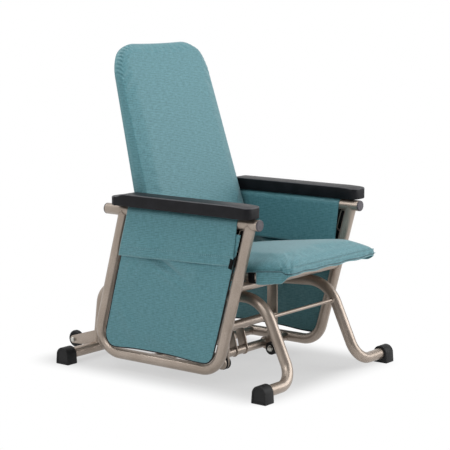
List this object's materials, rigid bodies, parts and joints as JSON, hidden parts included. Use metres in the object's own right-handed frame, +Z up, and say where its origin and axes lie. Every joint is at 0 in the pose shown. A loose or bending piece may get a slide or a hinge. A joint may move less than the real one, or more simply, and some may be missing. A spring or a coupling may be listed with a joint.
{
  "type": "pediatric glider chair",
  "caption": "Clinic glider chair for a child: padded seat and back in a tube frame hung on swinging links from a tube base, with padded arms, fabric side panels and rear transport wheels.",
  "frame": {"origin": "centre of the overall box on the floor, between the four feet", "axes": "+Z up, -Y the way a sitter faces, +X to the sitter's left"},
  "size_m": [0.638, 0.864, 0.9394],
  "materials": {
    "powder_coat": "satin champagne metallic powder coat",
    "black_rubber": "matte moulded",
    "bright_steel": "bright zinc",
    "grey_plastic": "moulded",
    "armrest_foam": "grained moulded polyurethane",
    "teal_upholstery": "fine grained coated fabric",
    "black_webbing": "woven"
  },
  "bodies": {
    "base": {"base_rail_left": "powder_coat", "base_rail_right": "powder_coat", "rear_cross_tube": "powder_coat", "front_tie_rod": "powder_coat", "front_foot_left": "black_rubber", "front_foot_right": "black_rubber", "rear_foot_left": "black_rubber", "rear_foot_right": "black_rubber", "wheel_axle_bolt_left": "bright_steel", "wheel_axle_bolt_right": "bright_steel", "upper_pivot_bolt_front_left": "bright_steel", "upper_pivot_bolt_front_right": "bright_steel", "upper_pivot_bolt_rear_left": "bright_steel", "upper_pivot_bolt_rear_right": "bright_steel"},
    "front_swing": {"front_link_left": "powder_coat", "front_link_right": "powder_coat", "front_link_bush_left": "black_rubber", "front_link_bush_right": "black_rubber", "front_swing_tube": "powder_coat"},
    "rear_swing": {"rear_link_left": "powder_coat", "rear_link_right": "powder_coat", "rear_link_bush_left": "black_rubber", "rear_link_bush_right": "black_rubber", "rear_swing_tube": "powder_coat"},
    "glide_frame": {"arm_end_plug_front_left": "grey_plastic", "arm_end_plug_front_right": "grey_plastic", "arm_end_plug_rear_left": "grey_plastic", "arm_end_plug_rear_right": "grey_plastic", "arm_tube_left": "powder_coat", "arm_tube_right": "powder_coat", "armrest_left": "armrest_foam", "armrest_right": "armrest_foam", "armrest_screw_front_left": "bright_steel", "armrest_screw_front_right": "bright_steel", "armrest_screw_rear_left": "bright_steel", "armrest_screw_rear_right": "bright_steel", "back_cross_tube": "powder_coat", "back_cushion": "teal_upholstery", "back_frame": "powder_coat", "back_webbing": "black_webbing", "cushion_tie_strap": "black_webbing", "front_lower_tube": "powder_coat", "lower_pivot_bolt_front_left": "bright_steel", "lower_pivot_bolt_front_right": "bright_steel", "lower_pivot_bolt_rear_left": "bright_steel", "lower_pivot_bolt_rear_right": "bright_steel", "rear_lower_tube": "powder_coat", "seat_cushion": "teal_upholstery", "seat_frame": "powder_coat", "seat_front_tube": "powder_coat", "seat_pan": "powder_coat", "seat_skirt": "teal_upholstery", "side_flap_left": "teal_upholstery", "side_flap_right": "teal_upholstery", "side_frame_left": "powder_coat", "side_frame_right": "powder_coat", "side_panel_left": "teal_upholstery", "side_panel_right": "teal_upholstery"},
    "transport_wheel_left": {"transport_wheel_left": "black_rubber"},
    "transport_wheel_right": {"transport_wheel_right": "black_rubber"}
  },
  "joints": [
    {"name": "front_swing_joint", "type": "hinge", "parent": "base", "child": "front_swing", "pos_m": [0, -0.132, 0.23486], "axis": [1, 0, 0], "range_deg": [-14, 14]},
    {"name": "rear_swing_joint", "type": "hinge", "parent": "base", "child": "rear_swing", "pos_m": [0, 0.072, 0.23486], "axis": [1, 0, 0], "range_deg": [-14, 14]},
    {"name": "glide_frame_joint", "type": "hinge", "parent": "front_swing", "child": "glide_frame", "pos_m": [0, -0.132, 0.03486], "axis": [1, 0, 0], "range_deg": [-14, 14]},
    {"name": "transport_wheel_left_spin", "type": "hinge", "parent": "base", "child": "transport_wheel_left", "pos_m": [0.161, 0.406, 0.038], "axis": [1, 0, 0], "continuous": true},
    {"name": "transport_wheel_right_spin", "type": "hinge", "parent": "base", "child": "transport_wheel_right", "pos_m": [-0.161, 0.406, 0.038], "axis": [1, 0, 0], "continuous": true}
  ],
  "couplings": [
    {"joint": "rear_swing_joint", "follows": "front_swing_joint", "ratio": 1},
    {"joint": "glide_frame_joint", "follows": "front_swing_joint", "ratio": -1}
  ]
}
